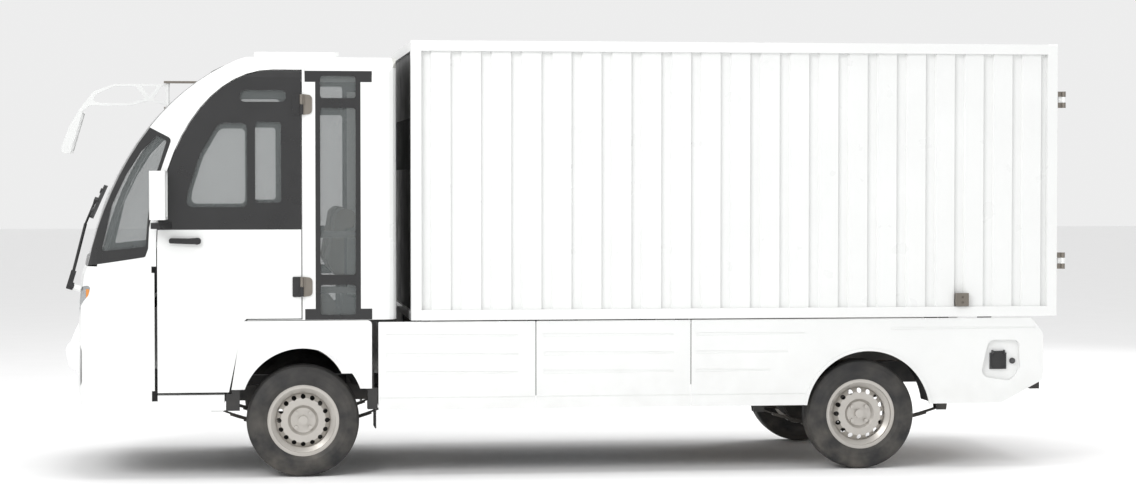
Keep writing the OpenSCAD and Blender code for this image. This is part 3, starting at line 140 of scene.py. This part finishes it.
mats = {
    "white_paint": surface("white_paint", WHITE, 0.32, coat=0.35, vary=0.02, grain=260, relief=0.03,
                           dust=0.08),
    "body_plastic": surface("body_plastic", WHITE, 0.36, coat=0.25, vary=0.025, grain=340, relief=0.04,
                            dust=0.16),
    "black_frame": surface("black_frame", rgb(30, 30, 31), 0.3, coat=0.3, vary=0.12, grain=500,
                           relief=0.05),
    "black_plastic": surface("black_plastic", rgb(34, 34, 35), 0.55, vary=0.14, grain=900, relief=0.3,
                             dust=0.1),
    "grey_plastic": surface("grey_plastic", rgb(72, 72, 73), 0.6, vary=0.1, grain=800, relief=0.3),
    "chassis_paint": surface("chassis_paint", rgb(38, 38, 39), 0.5, vary=0.2, grain=160, relief=0.25,
                             dust=0.35),
    "floor_metal": surface("floor_metal", rgb(92, 92, 90), 0.62, vary=0.12, grain=120, relief=0.5),
    "plywood": surface("plywood", rgb(120, 96, 66), 0.6, vary=0.22, grain=90, relief=0.3,
                       stretch=(0.06, 1, 1)),
    # wall_grey: the cargo box front wall as dark grey paint; part of this darkness is painted shade for
    # the shadow in the narrow gap behind the cab
    "wall_grey": surface("wall_grey", rgb(45, 45, 46), 0.48, vary=0.1, grain=300, relief=0.1),
    "wall_light": surface("wall_light", rgb(186, 186, 182), 0.5, vary=0.05, grain=420, relief=0.2),
    "hinge_steel": surface("hinge_steel", rgb(132, 126, 118), 0.42, metal=0.7, vary=0.14, grain=260,
                           relief=0.2),
    "spring_steel": surface("spring_steel", rgb(52, 50, 48), 0.45, metal=0.6, vary=0.25, grain=90,
                            relief=0.4,
                            dust=0.3),
    "cast_iron": surface("cast_iron", rgb(44, 43, 42), 0.6, metal=0.3, vary=0.3, grain=140, relief=0.6,
                         distance=0.001, dust=0.35),
    "rim_silver": surface("rim_silver", rgb(186, 182, 176), 0.34, metal=0.55, coat=0.2, vary=0.05,
                          grain=380,
                          relief=0.06, dust=0.12),
    "battery_case": surface("battery_case", rgb(56, 62, 70), 0.55, vary=0.1, grain=700, relief=0.25),
    "tyre": surface("tyre", rgb(33, 33, 34), 0.62, vary=0.22, blotch=6, grain=420, relief=0.35, dust=0.3,
                    bevel=0.0),
    "seat_vinyl": surface("seat_vinyl", rgb(128, 120, 110), 0.7, vary=0.08, grain=900, relief=0.4),
    "amber_lens": surface("amber_lens", rgb(214, 132, 40), 0.16, coat=0.8, vary=0.12, grain=240,
                          relief=0.25),
    "red_lens": surface("red_lens", rgb(150, 26, 24), 0.16, coat=0.8, vary=0.12, grain=240, relief=0.25),
    "glass": surface("glass", rgb(120, 126, 126), 0.05, coat=1.0, vary=0.06, grain=8, relief=0.01,
                     alpha=0.3,
                     bevel=0.0, specular=0.8),
    "lamp_lens": surface("lamp_lens", rgb(225, 228, 230), 0.04, coat=1.0, vary=0.03, grain=90, relief=0.04,
                         alpha=0.38, bevel=0.0),
}


def paint(obj, name):
    obj.data.materials.clear()
    obj.data.materials.append(mats[name])


for part in frame["record"]["subparts"]:
    paint(nodes[part["node"]], part["material_slot"])


# ---------------------------------------------------------------- camera, floor and light
CAMERA_PLACE = (-1.6672, -13.6010, 1.4995)
CAMERA_DOWN, CAMERA_RIGHT = 1.657, 7.459
LENS_MM, SENSOR_MM = 81.64, 36
VIEW_END = 200
FLOOR_HALF = 60
WORLD_STRENGTH = 0.85

scene = bpy.context.scene
scene.view_settings.view_transform = "Standard"
camera_data = bpy.data.cameras.new("camera")
camera_data.lens = LENS_MM
camera_data.sensor_width = SENSOR_MM
camera_data.sensor_fit = "HORIZONTAL"
camera_data.clip_end = VIEW_END
camera = bpy.data.objects.new("camera", camera_data)
camera.location = CAMERA_PLACE
camera.rotation_euler = (math.radians(90 - CAMERA_DOWN), 0, math.radians(-CAMERA_RIGHT))
scene.collection.objects.link(camera)
scene.camera = camera

floor_mesh = bpy.data.meshes.new("floor")
corners = [(x * FLOOR_HALF, y * FLOOR_HALF, 0) for x, y in ((-1, -1), (1, -1), (1, 1), (-1, 1))]
floor_mesh.from_pydata(corners, [], [(0, 1, 2, 3)])
floor = bpy.data.objects.new("floor", floor_mesh)
scene.collection.objects.link(floor)
paper = surface("floor_paper", rgb(244, 244, 244), 0.9, vary=0.01, relief=0.0, bevel=0.0)
floor_mesh.materials.append(paper)

world = bpy.data.worlds.new("studio")
scene.world = world
world.use_nodes = True
background = world.node_tree.nodes["Background"]
background.inputs["Color"].default_value = (1.0, 1.0, 1.0, 1.0)
background.inputs["Strength"].default_value = WORLD_STRENGTH


def area_light(name, place, target, size, power):
    data = bpy.data.lights.new(name, "AREA")
    data.shape = "RECTANGLE"
    data.size, data.size_y = size
    data.energy = power
    light = bpy.data.objects.new(name, data)
    light.location = place
    light.rotation_euler = (Vector(target) - Vector(place)).to_track_quat("-Z", "Y").to_euler()
    scene.collection.objects.link(light)


area_light("key", (-5.5, -7.5, 6.5), (0, 0, 1.0), (5, 4), 420)
area_light("top", (0.5, -0.5, 7.5), (0.5, 0, 0), (7, 4), 260)
area_light("rear", (6.5, 5.0, 4.5), (0.5, 0, 1.0), (4, 4), 200)
